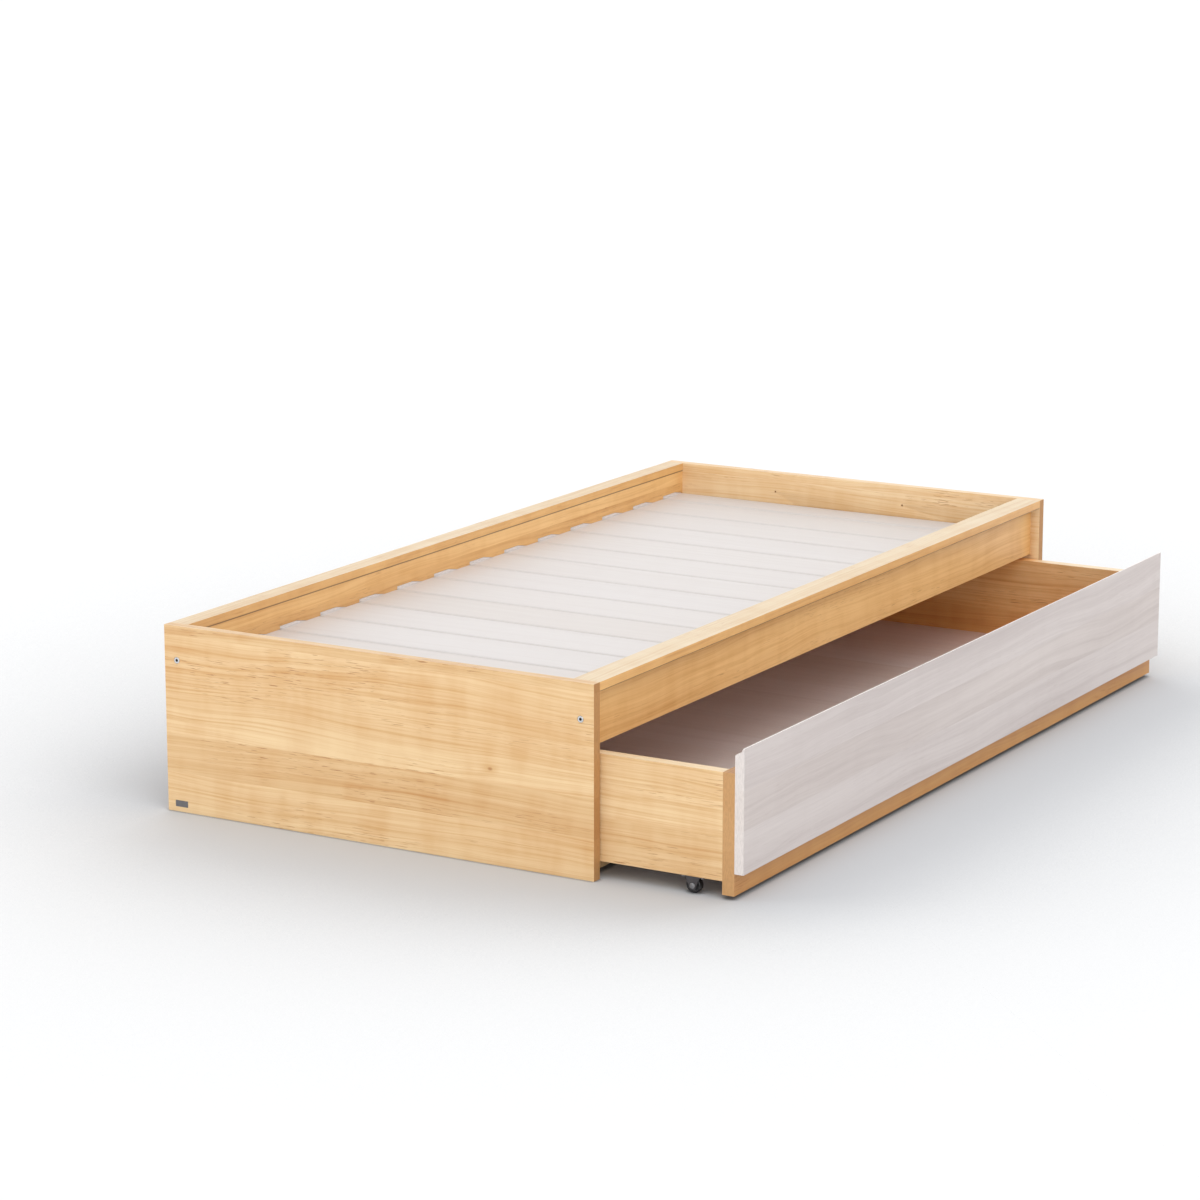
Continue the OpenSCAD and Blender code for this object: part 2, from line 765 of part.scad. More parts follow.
// The small round-headed screws that hold the casters.
module caster_screws() {
  color(STEEL) for (c = [0:3]) at_caster_screws(c) {
    bar_z([0, 0, -caster_screw_head_t], caster_screw_head_d, caster_screw_head_t);
    bar_z([0, 0, 0], caster_screw_d, caster_steel + caster_screw_l);
  }
}

module caster_screw_holes() {
  for (c = [0:3]) at_caster_screws(c)
    bar_z([0, 0, 0], caster_screw_d + 2 * hole_clear, caster_steel + caster_screw_l + hole_clear);
}

end_panel_left();
end_panel_right();
front_rail();
back_rail();
front_cap();
back_cap();
slat_batten_front();
slat_batten_back();
panel_bolts();
threaded_inserts();
rail_dowels();
cap_dowels();
batten_screws();
blank_plate();
slat_wedges();
for (i = [1:slats_n]) slat(i);
drawer_side_left();
drawer_side_right();
drawer_front_board();
drawer_back_board();
drawer_front_panel();
drawer_floor();
cross_rail_front();
cross_rail_back();
floor_cleat_left();
floor_cleat_right();
corner_dowels();
cross_rail_dowels();
front_panel_screws();
cleat_screws();
caster_screws();
for (c = [0:3]) caster_fork(c);
for (c = [0:3]) caster_axle(c);
for (c = [0:3]) caster_wheel(c);
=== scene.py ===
"""Looks for the trundle bed: eased boards, procedural finishes, a plain studio and the camera."""
import math

import bpy
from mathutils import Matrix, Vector


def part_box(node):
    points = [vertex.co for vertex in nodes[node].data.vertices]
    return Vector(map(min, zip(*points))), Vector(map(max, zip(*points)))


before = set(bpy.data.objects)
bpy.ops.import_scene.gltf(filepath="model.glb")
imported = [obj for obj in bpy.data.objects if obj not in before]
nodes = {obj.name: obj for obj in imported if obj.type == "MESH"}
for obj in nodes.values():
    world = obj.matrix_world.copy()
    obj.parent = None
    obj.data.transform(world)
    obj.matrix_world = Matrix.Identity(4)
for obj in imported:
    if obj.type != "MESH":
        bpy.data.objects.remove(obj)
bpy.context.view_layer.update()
scene = bpy.context.scene
MM = 0.001


# ---- Node helpers -------------------------------------------------------------------------------

# The powers by which wood's green and blue fall as its red falls.
GREEN_FALL = 1.6
BLUE_FALL = 2.4
AO_SAMPLES = 8
WHITE = (1.0, 1.0, 1.0)


class Tree:
    """A node tree built from small expressions: a new material's, or the one given."""

    def __init__(self, name, tree=None):
        if tree is None:
            self.material = bpy.data.materials.new(name)
            self.material.use_nodes = True
            tree = self.material.node_tree
            tree.nodes.clear()
            out = tree.nodes.new("ShaderNodeOutputMaterial")
            self.shader = tree.nodes.new("ShaderNodeBsdfPrincipled")
            tree.links.new(self.shader.outputs[0], out.inputs["Surface"])
        else:
            tree.nodes.clear()
        self.nodes, self.links = tree.nodes, tree.links

    def put(self, socket, value):
        if isinstance(value, bpy.types.NodeSocket):
            self.links.new(value, socket)
        else:
            socket.default_value = value

    def node(self, kind, inputs=(), **settings):
        made = self.nodes.new(kind)
        for key, value in settings.items():
            setattr(made, key, value)
        for key, value in dict(inputs).items():
            self.put(made.inputs[key], value)
        return made

    def math(self, operation, a, b=0.0, c=0.0, clamp=False):
        made = self.node("ShaderNodeMath", operation=operation, use_clamp=clamp)
        for socket, value in zip(made.inputs, (a, b, c)):
            self.put(socket, value)
        return made.outputs[0]

    def split(self, vector):
        return self.node("ShaderNodeSeparateXYZ", {"Vector": vector}).outputs

    def join(self, x, y, z):
        return self.node("ShaderNodeCombineXYZ", {"X": x, "Y": y, "Z": z}).outputs[0]

    def scaled(self, vector, scale, shift=(0.0, 0.0, 0.0)):
        made = self.node("ShaderNodeVectorMath", operation="MULTIPLY_ADD")
        for socket, value in zip(made.inputs, (vector, scale, shift)):
            self.put(socket, value)
        return made.outputs[0]

    def noise(self, vector, scale, detail=2.0, roughness=0.5):
        """Noise with its own scale on each axis, in cycles per metre, about 0.5."""
        return self.node("ShaderNodeTexNoise", {
            "Vector": self.scaled(vector, scale), "Scale": 1.0, "Detail": detail,
            "Roughness": roughness}).outputs["Fac"]

    def span(self, value, low, high, to_low=0.0, to_high=1.0):
        """Maps low..high to to_low..to_high with a smooth, clamped step."""
        return self.node("ShaderNodeMapRange", {
            "Value": value, "From Min": low, "From Max": high, "To Min": to_low,
            "To Max": to_high}, interpolation_type="SMOOTHSTEP").outputs[0]

    def mix(self, factor, a, b, blend="MIX"):
        made = self.node("ShaderNodeMix", data_type="RGBA", blend_type=blend)
        self.put(made.inputs[0], factor)
        self.put(made.inputs[6], a)
        self.put(made.inputs[7], b)
        return made.outputs[2]

    def dot(self, a, b):
        made = self.node("ShaderNodeVectorMath", {0: a, 1: b}, operation="DOT_PRODUCT")
        return made.outputs["Value"]

    def tinted(self, color, tint):
        """A colour times a vector, channel by channel."""
        made = self.node("ShaderNodeVectorMath", {0: color, 1: tint}, operation="MULTIPLY")
        return made.outputs[0]

    def gain(self, color, value):
        """A colour times a number."""
        return self.tinted(color, self.join(value, value, value))

    def warm_gain(self, color, value):
        """A colour times a number, where less is redder as well as darker."""
        green, blue = (self.math("POWER", value, fall) for fall in (GREEN_FALL, BLUE_FALL))
        return self.tinted(color, self.join(value, green, blue))

    def openness(self, reach):
        """1 in the open, less where other surfaces stand within reach, in metres."""
        return self.node("ShaderNodeAmbientOcclusion", {"Distance": reach},
                         samples=AO_SAMPLES).outputs["AO"]

    def bump(self, height, distance, strength):
        made = self.node("ShaderNodeBump", {"Height": height, "Distance": distance,
                                            "Strength": strength})
        self.put(self.shader.inputs["Normal"], made.outputs[0])

    def finish(self, inputs):
        for key, value in inputs.items():
            self.put(self.shader.inputs[key], value)
        return self.material


def rgba(color, gain=1.0):
    return tuple(c * gain for c in color) + (1.0,)


# ---- Wood ---------------------------------------------------------------------------------------

AXES = "xyz"

# Scales of the wood's marks, in cycles per metre along, across and through a board.
WANDER_SCALE = (1.7, 5.5, 5.5)
BROAD_SCALE = (0.8, 8.0, 8.0)
STREAK_SCALE = (1.1, 62.0, 62.0)
RING_SCALE = (2.2, 230.0, 230.0)
FIBRE_SCALE = (16.0, 1100.0, 1100.0)
CLOUD_SCALE = (17.0, 6.0, 6.0)
CLUSTER_SCALE = (3.1, 13.0, 13.0)
DASH_SCALE = (27.0, 560.0, 560.0)
KNOT_SCALE = (4.2, 7.0, 0.0)
ARC_SCALE = (1.0, 90.0, 420.0)
PORE_SCALE = (1.0, 900.0, 900.0)

# The stretch of each mark's noise over which the mark comes up.
BROAD_RANGE = (0.3, 0.7)
STREAK_RANGE = (0.36, 0.7)
RING_RANGE = (0.42, 0.72)
FIBRE_RANGE = (0.4, 0.8)
CLOUD_RANGE = (0.35, 0.75)
CLUSTER_RANGE = (0.47, 0.64)
DASH_RANGE = (0.63, 0.69)
ARC_RANGE = (0.35, 0.7)
PORE_RANGE = (0.5, 0.75)

# How much of a face's normal lies along one axis, from where the face starts to count as a cut
# end, an eased edge or a top to where it fully does.
END_RANGE = (0.6, 0.85)
EDGE_RANGE = (0.995, 0.9)
TOP_RANGE = (0.5, 0.9)
# How open a place is, from where it has its full shade to where it has none.
CLOSED_RANGE = (0.25, 0.65)

# How far one strip's grain is slipped from the next, in metres per unit of its shift.
STRIP_SLIP = 7.3
# A knot's halo and heart: distances from its centre, in cells, between which each comes up, how
# strong each is, and how rough their edges are.
HALO_RANGE = (0.12, 0.02)
HALO_DEPTH = 0.45
HEART_RANGE = (0.042, 0.022)
HEART_DEPTH = 0.75
KNOT_ROUGH = 0.02
# Distance within which a board counts as closed in, and within which painted shade darkens a slat
# towards its joint.
CLOSED_REACH = 0.4
JOINT_REACH = 0.014


def end_grain(t, grain):
    """1 on faces that cut across the grain, 0 along it."""
    normal = t.node("ShaderNodeTexCoord").outputs["Normal"]
    part = t.split(normal)[AXES.index(grain)]
    return t.span(t.math("ABSOLUTE", part), *END_RANGE)


def eased_edge(t):
    """1 on the rounded edges of a board, where its finish is drawn lighter as worn thin and as a
    painted highlight, 0 on its flat faces.
    """
    parts = t.split(t.node("ShaderNodeTexCoord").outputs["Normal"])
    flat = t.math("ABSOLUTE", parts[0])
    for part in parts[1:]:
        flat = t.math("MAXIMUM", flat, t.math("ABSOLUTE", part))
    return t.span(flat, *EDGE_RANGE)


def strips(t, value, rows):
    """Tone and shift of a board's glued strips; each row is (first place across, tone, shift)."""
    start, end = rows[0][0], rows[-1][0] + 0.1
    place = t.node("ShaderNodeMapRange", {"Value": value, "From Min": start, "From Max": end})
    ramp = t.node("ShaderNodeValToRGB", {"Fac": place.outputs[0]})
    ramp.color_ramp.interpolation = "CONSTANT"
    stops = ramp.color_ramp.elements
    while len(stops) < len(rows):
        stops.new(1.0)
    for stop, (first, tone, shift) in zip(stops, rows):
        stop.position = (first - start) / (end - start)
        stop.color = (tone, shift, 0.0, 1.0)
    parts = t.node("ShaderNodeSeparateColor", {"Color": ramp.outputs["Color"]}).outputs
    return parts[0], parts[1]


def even_strips(t, value, first, pitch, spread):
    """Tone and shift of strips of one width, picked at random for each strip."""
    index = t.math("FLOOR", t.math("DIVIDE", t.math("SUBTRACT", value, first), pitch))
    pick = t.node("ShaderNodeTexWhiteNoise", {"W": index}, noise_dimensions="1D")
    tone = t.math("MULTIPLY_ADD", pick.outputs["Value"], spread, 1.0 - spread / 2)
    return tone, t.split(pick.outputs["Color"])[1]


def seam_shade(t, place, centre, half_width, depth):
    """A shade that falls from 1 to 1 - depth where place comes within half_width of centre."""
    away = t.math("ABSOLUTE", t.math("SUBTRACT", place, centre))
    return t.span(away, half_width, 0.0, 1.0, 1.0 - depth)


def flecked(t, color, v, look):
    """Adds short dark dashes along the grain, in loose clusters."""
    cluster = t.span(t.noise(v, CLUSTER_SCALE, 2.0), *CLUSTER_RANGE)
    dash = t.span(t.noise(v, DASH_SCALE, 1.0), *DASH_RANGE)
    fleck = t.math("MULTIPLY", t.math("MULTIPLY", dash, cluster), look["fleck"])
    return t.mix(fleck, color, rgba(look["mark"]))


def knotted(t, color, v, fibre, look):
    """Adds pin knots: a dark heart in a warm halo, in some of the cells only."""
    cell = t.node("ShaderNodeTexVoronoi", {"Vector": t.scaled(v, KNOT_SCALE), "Scale": 1.0,
                                           "Randomness": 1.0})
    kept = t.math("LESS_THAN", t.split(cell.outputs["Color"])[0], look["knots"])
    rough = t.math("MULTIPLY_ADD", fibre, KNOT_ROUGH, cell.outputs["Distance"])
    halo = t.math("MULTIPLY", t.span(rough, *HALO_RANGE), t.math("MULTIPLY", kept, HALO_DEPTH))
    heart = t.math("MULTIPLY", t.span(rough, *HEART_RANGE), kept)
    color = t.mix(halo, color, rgba(look["dark"]))
    return t.mix(t.math("MULTIPLY", heart, HEART_DEPTH), color, rgba(look["mark"]))


def cut_end_color(t, over, through, look):
    """The colour of cut ends: darker, finely pitted, and crossed by the rings."""
    arc = t.noise(t.join(0.0, over, through), ARC_SCALE, 3.0, 0.6)
    pore = t.noise(t.join(0.0, over, through), PORE_SCALE, 1.0)
    arc, pore = t.span(arc, *ARC_RANGE, 0.0, 0.7), t.span(pore, *PORE_RANGE, 0.0, 0.3)
    return t.mix(t.math("ADD", arc, pore), rgba(look["end"]), rgba(look["end"], gain=0.8))


def painted_closed_shade(t, color, look):
    """Paints shade and warm bounced light: a deeper, warmer tone where a board is closed in by
    others.
    """
    clear = t.span(t.openness(CLOSED_REACH), *CLOSED_RANGE)
    return t.mix(1.0, color, t.mix(clear, rgba(look["shade"]), rgba(WHITE)), "MULTIPLY")


def wood(name, grain, across, look, rows=None, pitch=None, seed=0.0, seams=()):
    """Sawn and finished wood.

    grain and across are the axes along the fibres and across the board's width. rows or pitch say
    how the board is glued up from strips. look holds the colours and how strong each mark is.
    Each seam is (axis, centre, half width, depth) of a dark line of painted shade where the board
    meets another.
    """
    t = Tree(name)
    point = t.split(t.node("ShaderNodeTexCoord").outputs["Object"])
    along, over = point[AXES.index(grain)], point[AXES.index(across)]
    through = point[({0, 1, 2} - {AXES.index(grain), AXES.index(across)}).pop()]
    if rows:
        tone, shift = strips(t, over, rows)
    elif pitch:
        tone, shift = even_strips(t, over, pitch[0], pitch[1], look["spread"])
    else:
        tone, shift = 1.0, 0.0
    slip = t.math("MULTIPLY_ADD", shift, STRIP_SLIP, seed)
    v = t.join(t.math("ADD", along, slip), t.math("ADD", over, slip), through)

    # The rings' lines wander, so that they close into long arches.
    wander = t.noise(v, WANDER_SCALE, 2.0, 0.45)
    bent = t.math("MULTIPLY_ADD", wander, look["wander"], t.math("ADD", over, slip))
    w = t.join(t.math("ADD", along, slip), bent, through)
    broad = t.noise(v, BROAD_SCALE, 1.0)
    streak = t.noise(w, STREAK_SCALE, 4.0, 0.62)
    ring = t.noise(w, RING_SCALE, 3.0, 0.6)
    fibre = t.noise(v, FIBRE_SCALE, 2.0, 0.6)
    cloud = t.noise(v, CLOUD_SCALE, 2.0, 0.55)

    amount = t.span(broad, *BROAD_RANGE, 0.0, look["broad"])
    amount = t.math("ADD", amount, t.span(streak, *STREAK_RANGE, 0.0, look["streak"]))
    amount = t.math("ADD", amount, t.span(ring, *RING_RANGE, 0.0, look["ring"]))
    amount = t.math("ADD", amount, t.span(fibre, *FIBRE_RANGE, 0.0, look["fibre"]))
    amount = t.math("ADD", amount, t.span(cloud, *CLOUD_RANGE, 0.0, look["cloud"]), clamp=True)
    light, dark = rgba(look["light"]), rgba(look["dark"])
    if "side_light" in look:
        # Painted highlight: the top is drawn lighter than the upright faces, which keep the wood's
        # own colour.
        up = t.split(t.node("ShaderNodeTexCoord").outputs["Normal"])[2]
        up = t.span(up, *TOP_RANGE)
        light = t.mix(up, rgba(look["side_light"]), light)
        dark = t.mix(up, rgba(look["side_dark"]), dark)
    color = t.mix(amount, light, dark)

    if look["fleck"]:
        color = flecked(t, color, v, look)
    if look["knots"]:
        color = knotted(t, color, v, fibre, look)
    ends = end_grain(t, grain)
    color = t.mix(ends, color, cut_end_color(t, over, through, look))
    color = t.warm_gain(color, tone)
    # Painted shade: boards closed in by others are drawn deeper and warmer.
    if "shade" in look:
        color = painted_closed_shade(t, color, look)
    # Eased edges are drawn lighter: partly wear of the finish, partly painted highlight.
    worn_sheen = t.math("MULTIPLY", eased_edge(t), look["worn_sheen"])
    color = t.mix(worn_sheen, color, rgba(look["worn_sheen_color"]))
    # Painted shade along each seam.
    for axis, centre, half_width, depth in seams:
        color = t.gain(color, seam_shade(t, point[AXES.index(axis)], centre, half_width, depth))
    if pitch and look["joint"]:
        # Each strip is a slat of its own, with painted shade that makes it a little darker towards
        # its joints.
        away = t.math("PINGPONG", t.math("SUBTRACT", over, pitch[0]), pitch[1] / 2)
        color = t.gain(color, t.span(away, JOINT_REACH, 0.0, 1.0, 1.0 - look["joint"]))

    relief = t.math("ADD", t.math("MULTIPLY", fibre, 0.6), t.math("MULTIPLY", ring, 0.4))
    t.bump(relief, look["relief"] * MM, strength=0.6)
    rough = t.math("MULTIPLY_ADD", fibre, 0.14, look["roughness"] - 0.07)
    rough = t.math("MULTIPLY_ADD", ends, 0.15, rough)
    return t.finish({"Base Color": color, "Roughness": rough})


ALDER = {
    "light": (0.82, 0.615, 0.355), "dark": (0.58, 0.30, 0.10), "mark": (0.38, 0.145, 0.035),
    "end": (0.56, 0.31, 0.125), "worn_sheen_color": (0.80, 0.59, 0.35), "wander": 0.055, "broad": 0.22,
    "streak": 0.27, "ring": 0.36, "fibre": 0.14, "cloud": 0.20, "fleck": 0.80, "knots": 0.35,
    "worn_sheen": 0.35, "relief": 0.12, "roughness": 0.44, "spread": 0.1, "joint": 0.0,
}
PANEL_ALDER = dict(ALDER, end=(0.48, 0.245, 0.088))
# Painted highlight: the drawer sides' tops are drawn light cream; their upright faces keep the
# alder's colours.
SIDE_ALDER = dict(ALDER, light=(0.92, 0.76, 0.53), dark=(0.74, 0.52, 0.28),
                  side_light=ALDER["light"], side_dark=ALDER["dark"])
# Painted shade and warm bounced light where the far drawer side is closed in.
INNER_ALDER = dict(SIDE_ALDER, shade=(1.15, 0.74, 0.35))
# Painted light: the far panel is a lighter copy of the panel alder.
FAR_ALDER = dict(PANEL_ALDER, light=(0.87, 0.68, 0.43), dark=(0.64, 0.36, 0.13))
FRONT_ALDER = dict(ALDER, light=(0.86, 0.545, 0.235), dark=(0.62, 0.31, 0.09), fleck=0.45)
# Painted reflection: the caps' tops are drawn pale, for the sheen of the bright surroundings on
# them.
CAP_ALDER = dict(ALDER, light=(0.75, 0.62, 0.43), dark=(0.60, 0.38, 0.17), fleck=0.4,
                 side_light=(0.78, 0.47, 0.185), side_dark=(0.55, 0.26, 0.075))
# Painted shade: the drawer front board's alder is drawn darker than the rest.
PLINTH_ALDER = dict(ALDER, light=(0.57, 0.295, 0.095), dark=(0.42, 0.175, 0.045), knots=0.5)
GLAZED = {
    "light": (0.66, 0.60, 0.575), "dark": (0.50, 0.43, 0.405), "mark": (0.40, 0.32, 0.30),
    "end": (0.72, 0.66, 0.63), "worn_sheen_color": (0.80, 0.75, 0.72), "wander": 0.07, "broad": 0.20,
    "streak": 0.26, "ring": 0.12, "fibre": 0.20, "cloud": 0.06, "fleck": 0.25, "knots": 0.0,
    "worn_sheen": 0.5, "relief": 0.14, "roughness": 0.5, "spread": 0.06, "joint": 0.0,
}
# Painted shade: the drawer floor is drawn darker and redder where it is closed in.
FLOOR_GLAZED = dict(GLAZED, light=(0.86, 0.80, 0.775), dark=(0.72, 0.64, 0.61),
                    shade=(1.0, 0.79, 0.72))
# Painted highlight: the white front's top is drawn much lighter than its face.
FRONT_GLAZED = dict(GLAZED, light=(0.90, 0.86, 0.83), dark=(0.76, 0.70, 0.67), streak=0.34,
                    broad=0.26, side_light=(0.615, 0.56, 0.54), side_dark=(0.44, 0.38, 0.365))
GLAZED_SLAT = dict(GLAZED, light=(0.69, 0.655, 0.64), dark=(0.60, 0.55, 0.53), fleck=0.1,
                   streak=0.2, broad=0.12, spread=0.03, joint=0.12)


# ---- Metal and plastic --------------------------------------------------------------------------

# Scales of the marks on metal and plastic, in cycles per metre, and where they come up.
SCRATCH_SCALE = (900.0, 900.0, 900.0)
SMUDGE_SCALE = (60.0, 60.0, 60.0)
PLATE_BRUSHING = (60.0, 120.0, 1500.0)
SKIN_SCALE = (1400.0, 1400.0, 1400.0)
DUST_SCALE = (110.0, 110.0, 110.0)
SCRATCH_RANGE = (0.55, 0.8)
SMUDGE_RANGE = (0.35, 0.7)
DUST_RANGE = (0.5, 0.75)
DUST = (0.11, 0.105, 0.10)
# Where a bolt's socket starts and is fully dark with painted shade, in shares of the head's
# radius.
SOCKET_EDGE = 0.52
SOCKET_DARK = 0.42


def socket_painted_shade(t, point, node):
    """1 in the sockets of a node's bolts, which get painted shade: at each end a pair at one
    height, pointing along X.
    """
    low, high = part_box(node)
    head_r = (high[2] - low[2]) / 2
    middle, reach = (low[1] + high[1]) / 2, (high[1] - low[1]) / 2 - head_r
    parts = t.split(point)
    y = t.math("SUBTRACT", t.math("ABSOLUTE", t.math("SUBTRACT", parts[1], middle)), reach)
    z = t.math("SUBTRACT", parts[2], (low[2] + high[2]) / 2)
    away = t.math("SQRT", t.math("ADD", t.math("MULTIPLY", y, y), t.math("MULTIPLY", z, z)))
    return t.span(away, SOCKET_EDGE * head_r, SOCKET_DARK * head_r)


def metal(name, color, roughness, scratches=SCRATCH_SCALE, bolts=None):
    """Plated or painted metal with fine scratches and a slightly uneven sheen."""
    t = Tree(name)
    point = t.node("ShaderNodeTexCoord").outputs["Object"]
    scratch = t.noise(point, scratches, 3.0, 0.6)
    smudge = t.noise(point, SMUDGE_SCALE, 2.0)
    shade = t.mix(t.span(smudge, *SMUDGE_RANGE, 0.0, 0.4), rgba(color), rgba(color, gain=0.72))
    shade = t.mix(t.span(scratch, *SCRATCH_RANGE, 0.0, 0.3), shade, rgba(color, gain=1.35))
    # Painted shade: the bolts' sockets are drawn nearly black.
    if bolts:
        shade = t.mix(socket_painted_shade(t, point, bolts), shade, rgba(color, gain=0.04))
    t.bump(scratch, 0.03 * MM, strength=0.5)
    rough = t.math("MULTIPLY_ADD", scratch, 0.25, roughness - 0.12)
    return t.finish({"Base Color": shade, "Roughness": rough, "Metallic": 1.0})


def plastic(name, color, roughness):
    """Moulded plastic with a fine skin, dusty where it is scuffed."""
    t = Tree(name)
    point = t.node("ShaderNodeTexCoord").outputs["Object"]
    skin = t.noise(point, SKIN_SCALE, 2.0)
    dust = t.noise(point, DUST_SCALE, 3.0)
    shade = t.mix(t.span(dust, *DUST_RANGE, 0.0, 0.35), rgba(color), rgba(DUST))
    t.bump(skin, 0.05 * MM, strength=0.5)
    rough = t.math("MULTIPLY_ADD", dust, 0.3, roughness - 0.1)
    return t.finish({"Base Color": shade, "Roughness": rough})


# ---- Boards -------------------------------------------------------------------------------------

# Widths of eased edges in mm, and the steps that each is rounded in.
BOARD_EASE = 1.6
BOARD_SEGMENTS = 2
SLAT_EASE = 4.0
SLAT_SEGMENTS = 4
# Edges sharper than this, in degrees, are rounded; faces closer to flat than this are joined.
SHARP_EDGE = 35
FLAT_EDGE = 0.5
WELD_DISTANCE = 0.01 * MM


def ease(name, width, segments):
    """Rounds a node's edges, as sanding does, and keeps its flat faces flat."""
    piece = nodes[name]
    weld = piece.modifiers.new("weld", "WELD")
    weld.merge_threshold = WELD_DISTANCE
    flat = piece.modifiers.new("flat", "DECIMATE")
    flat.decimate_type = "DISSOLVE"
    flat.angle_limit = math.radians(FLAT_EDGE)
    bevel = piece.modifiers.new("eased edges", "BEVEL")
    bevel.width = width * MM
    bevel.segments = segments
    bevel.limit_method = "ANGLE"
    bevel.angle_limit = math.radians(SHARP_EDGE)
    bevel.use_clamp_overlap = True
    bevel.harden_normals = True


def paint(name, material):
    """Gives a node one finish all over."""
    piece = nodes[name]
    piece.data.materials.clear()
    piece.data.materials.append(material)
    for face in piece.data.polygons:
        face.material_index = 0


def slat_joints():
    """The place of the first joint between slats, and the slats' pitch."""
    low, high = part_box("slat_01")
    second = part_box("slat_02")[0][0]
    return low[0] - (second - high[0]) / 2, second - low[0]


# The glued strips of each board: the height of a strip's lower edge, its tone and its shift.
panel_rows = [(0.0, 1.0, 0.13), (0.080, 0.93, 0.57), (0.159, 1.0, 0.31), (0.361, 0.93, 0.83)]
other_rows = [(0.0, 0.98, 0.71), (0.095, 1.0, 0.23), (0.206, 0.97, 0.47), (0.361, 0.98, 0.62)]
drawer_rows = [(0.034, 0.96, 0.37), (0.118, 1.0, 0.91), (0.186, 0.98, 0.19)]
front_rows = [(0.008, 0.97, 0.77), (0.092, 1.0, 0.44), (0.168, 0.97, 0.06)]
back_rail_rows = [(0.252, 0.90, 0.52), (0.333, 1.0, 0.11)]
white_rows = [(0.051, 1.0, 0.28), (0.135, 0.985, 0.66), (0.211, 1.0, 0.95)]

# The first joint and the width of the boards in the drawer's floor.
FLOOR_BOARDS = (-0.98, 0.120)
# Painted shade: the dark line drawn in the joint between the rails and their caps.
cap_seam = ("z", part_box("back_cap")[0][2], 0.0024, 0.8)

panel_wood = wood("alder_panel_left", "y", "z", PANEL_ALDER, panel_rows, seed=0.0)
far_panel_wood = wood("alder_panel_right", "y", "z", FAR_ALDER, other_rows, seed=3.0)
front_rail_wood = wood("alder_front_rail", "x", "z", FRONT_ALDER, seed=5.0)
back_rail_wood = wood("alder_back_rail", "x", "z", FRONT_ALDER, back_rail_rows, seed=8.0,
                      seams=[cap_seam])
cap_wood = wood("alder_caps", "x", "y", CAP_ALDER, seed=11.0, seams=[cap_seam])
side_wood = wood("alder_drawer_sides", "y", "z", SIDE_ALDER, drawer_rows, seed=14.0)
inner_wood = wood("alder_drawer_side_right", "y", "z", INNER_ALDER, drawer_rows, seed=15.0)
batten_wood = wood("alder_battens", "x", "z", ALDER, seed=17.0)
plinth_wood = wood("alder_drawer_front", "x", "z", PLINTH_ALDER, front_rows, seed=20.0)
back_wood = wood("alder_drawer_back", "x", "z", ALDER, drawer_rows, seed=23.0)
cleat_wood = wood("alder_cleats", "y", "z", ALDER, seed=26.0)
front_white = wood("white_glazed_front", "x", "z", FRONT_GLAZED, white_rows, seed=29.0)
slat_white = wood("white_glazed_slats", "y", "x", GLAZED_SLAT, pitch=slat_joints(), seed=32.0)
floor_white = wood("white_glazed_floor", "y", "x", FLOOR_GLAZED, pitch=FLOOR_BOARDS, seed=35.0)
dowel_wood = wood("beech_dowels", "y", "z", dict(ALDER, knots=0.0), seed=38.0)
zinc = metal("zinc_steel", (0.62, 0.63, 0.65), 0.34)
axle_zinc = metal("axle_steel", (0.26, 0.26, 0.27), 0.38)
bolt_zinc = metal("bolt_steel", (0.66, 0.67, 0.69), 0.30, bolts="panel_bolts")
plate_metal = metal("plate_steel", (0.20, 0.20, 0.21), 0.42, PLATE_BRUSHING)
fork_metal = metal("black_steel", (0.10, 0.095, 0.10), 0.42)
tread = plastic("black_plastic", (0.012, 0.011, 0.012), 0.36)

slats = [name for name in nodes if name.startswith("slat_") and name[5:].isdigit()]
casters = {part: [name for name in nodes if name.startswith("caster_" + part)]
           for part in ("wheel", "fork", "axle")}

# Each row is (nodes, finish, width of the eased edges in mm, or 0 where they stay as cut).
FINISHES = [
    (["end_panel_left"], panel_wood, BOARD_EASE),
    (["end_panel_right"], far_panel_wood, BOARD_EASE),
    (["front_rail"], front_rail_wood, BOARD_EASE),
    (["back_rail"], back_rail_wood, BOARD_EASE),
    (["front_cap", "back_cap"], cap_wood, BOARD_EASE),
    (["slat_batten_front", "slat_batten_back"], batten_wood, 0),
    (["drawer_side_left"], side_wood, BOARD_EASE),
    (["drawer_side_right"], inner_wood, BOARD_EASE),
    (["drawer_front_board"], plinth_wood, BOARD_EASE),
    (["drawer_back_board"], back_wood, BOARD_EASE),
    (["drawer_front_panel"], front_white, BOARD_EASE),
    (["drawer_floor"], floor_white, 0),
    (["cross_rail_front", "cross_rail_back"], batten_wood, 0),
    (["floor_cleat_left", "floor_cleat_right"], cleat_wood, 0),
    (["rail_dowels", "cap_dowels", "corner_dowels", "cross_rail_dowels"], dowel_wood, 0),
    (["threaded_inserts", "batten_screws", "front_panel_screws", "cleat_screws",
      "caster_screws"], zinc, 0),
    (["slat_wedges"], slat_white, 0.6),
    (slats, slat_white, SLAT_EASE),
    (["panel_bolts"], bolt_zinc, 0.4),
    (["blank_plate"], plate_metal, 0.3),
    (casters["wheel"], tread, 0.4),
    (casters["fork"], fork_metal, 0.3),
    (casters["axle"], axle_zinc, 0.3),
]
for names, material, width in FINISHES:
    for name in names:
        paint(name, material)
        if width:
            ease(name, width, SLAT_SEGMENTS if width == SLAT_EASE else BOARD_SEGMENTS)


# ---- Studio and camera --------------------------------------------------------------------------

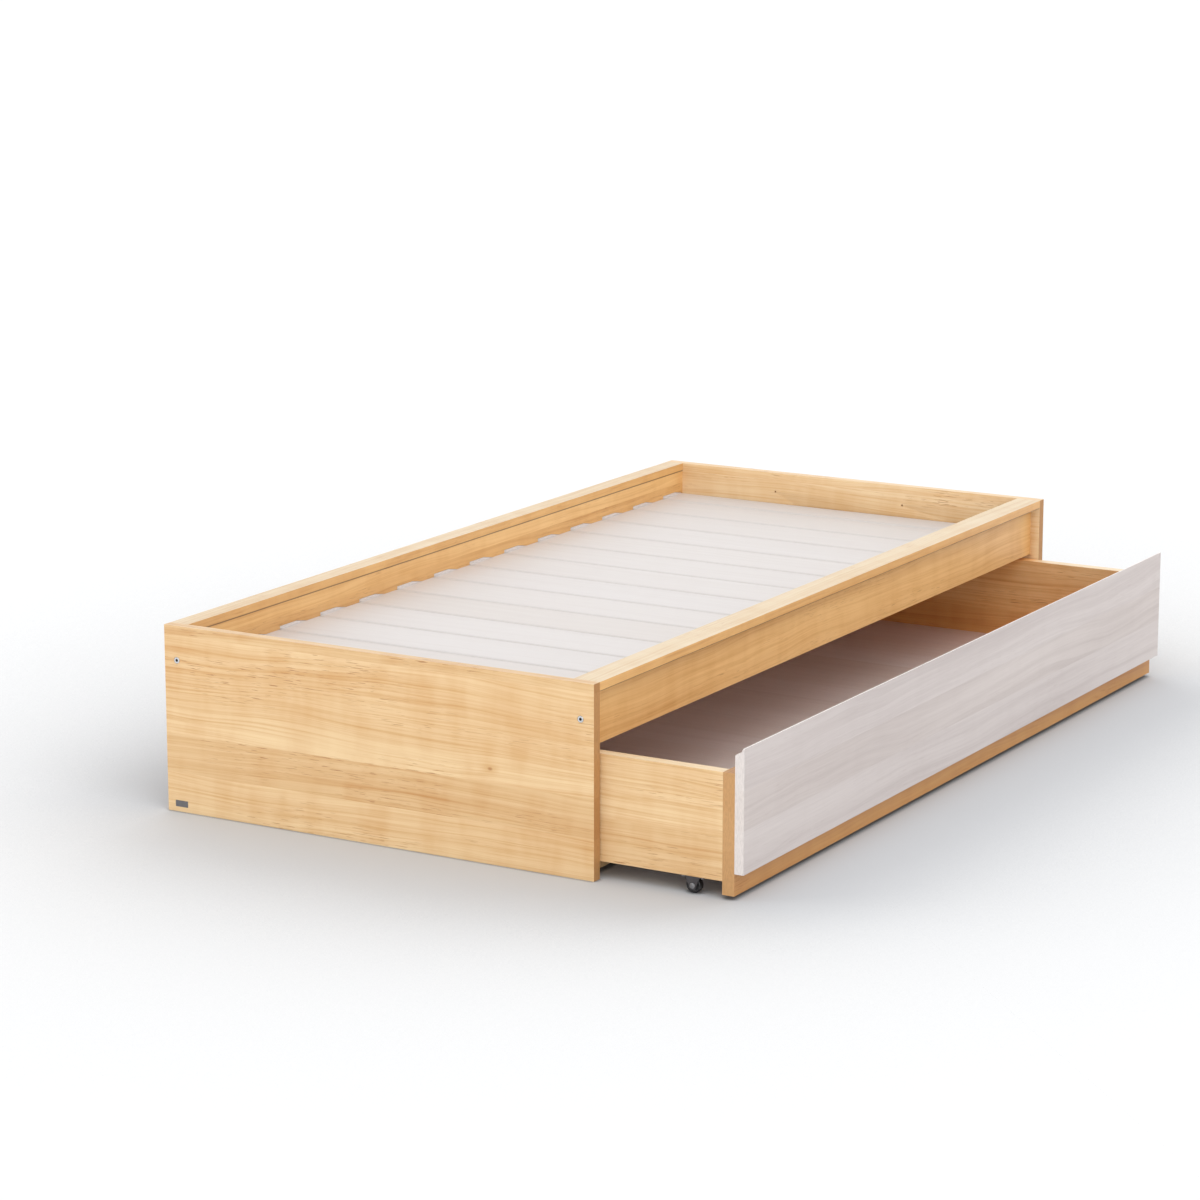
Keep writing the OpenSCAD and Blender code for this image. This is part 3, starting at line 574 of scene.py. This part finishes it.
# The floor: its open colour, its colour of painted shadow near the object, and how far away each
# shade reaches.
FLOOR_SIZE = 100.0
FLOOR_TONE = (0.870, 0.876, 0.884)
FLOOR_SHADE = (0.615, 0.630, 0.652)
SHADE_REACH = 1.6
CONTACT_REACH = 0.014
CONTACT_SHADE = 0.5
# How open the floor is, from where each shade is full to where it ends.
SHADE_RANGE = (0.80, 0.995)
CONTACT_RANGE = (0.5, 0.95)
# The light: an even dome that leans one way, a low strip, and a soft key from above.
DOME_POWER = 0.95
DOME_LEAN = (0.55, 0.30, -0.2)
STRIP_POWER = 3.6
STRIP_TOP = 0.4
STRIP_AIM = (-0.95, -0.31, 0.0)
KEY_POWER = 2.0
KEY_AIM = (-0.42, -0.50, 0.757)
KEY_FOCUS = 8.0


def studio_floor(size):
    """A pale floor with painted shadow: it darkens softly near the object and sharply where the
    object meets it.
    """
    mesh = bpy.data.meshes.new("studio_floor")
    corners = [(-size, -size, 0), (size, -size, 0), (size, size, 0), (-size, size, 0)]
    mesh.from_pydata(corners, [], [(0, 1, 2, 3)])
    piece = bpy.data.objects.new("studio_floor", mesh)
    scene.collection.objects.link(piece)
    t = Tree("studio_floor")
    clear = t.span(t.openness(SHADE_REACH), *SHADE_RANGE)
    tone = t.mix(clear, rgba(FLOOR_SHADE), rgba(FLOOR_TONE))
    touch = t.span(t.openness(CONTACT_REACH), *CONTACT_RANGE, CONTACT_SHADE, 1.0)
    tone = t.gain(tone, touch)
    mesh.materials.append(t.finish({"Base Color": tone, "Roughness": 1.0,
                                    "Specular IOR Level": 0.0}))


def studio_light():
    """A white dome that leans to the far side, a low strip at the left end and a soft key."""
    world = bpy.data.worlds.new("studio")
    scene.world = world
    world.use_nodes = True
    t = Tree("studio_dome", world.node_tree)
    direction = t.node("ShaderNodeTexCoord").outputs["Generated"]
    low = t.span(t.split(direction)[2], STRIP_TOP, 0.0)
    strip = t.math("MULTIPLY", t.math("MAXIMUM", t.dot(direction, STRIP_AIM), 0.0), low)
    key = t.math("MAXIMUM", t.dot(direction, KEY_AIM), 0.0)
    key = t.math("POWER", key, KEY_FOCUS)
    power = t.math("ADD", t.dot(direction, DOME_LEAN), DOME_POWER)
    power = t.math("MULTIPLY_ADD", strip, STRIP_POWER, power)
    power = t.math("MULTIPLY_ADD", key, KEY_POWER, power)
    background = t.node("ShaderNodeBackground", {"Color": rgba(WHITE), "Strength": power})
    out = t.node("ShaderNodeOutputWorld")
    t.links.new(background.outputs[0], out.inputs["Surface"])


# The camera looks down along the bed from beyond its front left corner.
CAMERA_AT = (-6.824, -3.729, 2.044)
CAMERA_YAW = 30.22
CAMERA_PITCH = 12.63
CAMERA_LENS = 112.3
SENSOR_WIDTH = 36.0
FAR_CLIP = 200.0


def camera():
    yaw, pitch = math.radians(CAMERA_YAW), math.radians(CAMERA_PITCH)
    aim = Vector((math.cos(pitch) * math.cos(yaw), math.cos(pitch) * math.sin(yaw),
                  -math.sin(pitch)))
    data = bpy.data.cameras.new("camera")
    data.sensor_width = SENSOR_WIDTH
    data.lens = CAMERA_LENS
    data.clip_end = FAR_CLIP
    made = bpy.data.objects.new("camera", data)
    made.location = CAMERA_AT
    made.rotation_mode = "QUATERNION"
    made.rotation_quaternion = aim.to_track_quat("-Z", "Y")
    scene.collection.objects.link(made)
    scene.camera = made


studio_floor(FLOOR_SIZE)
studio_light()
camera()
scene.view_settings.view_transform = "Standard"
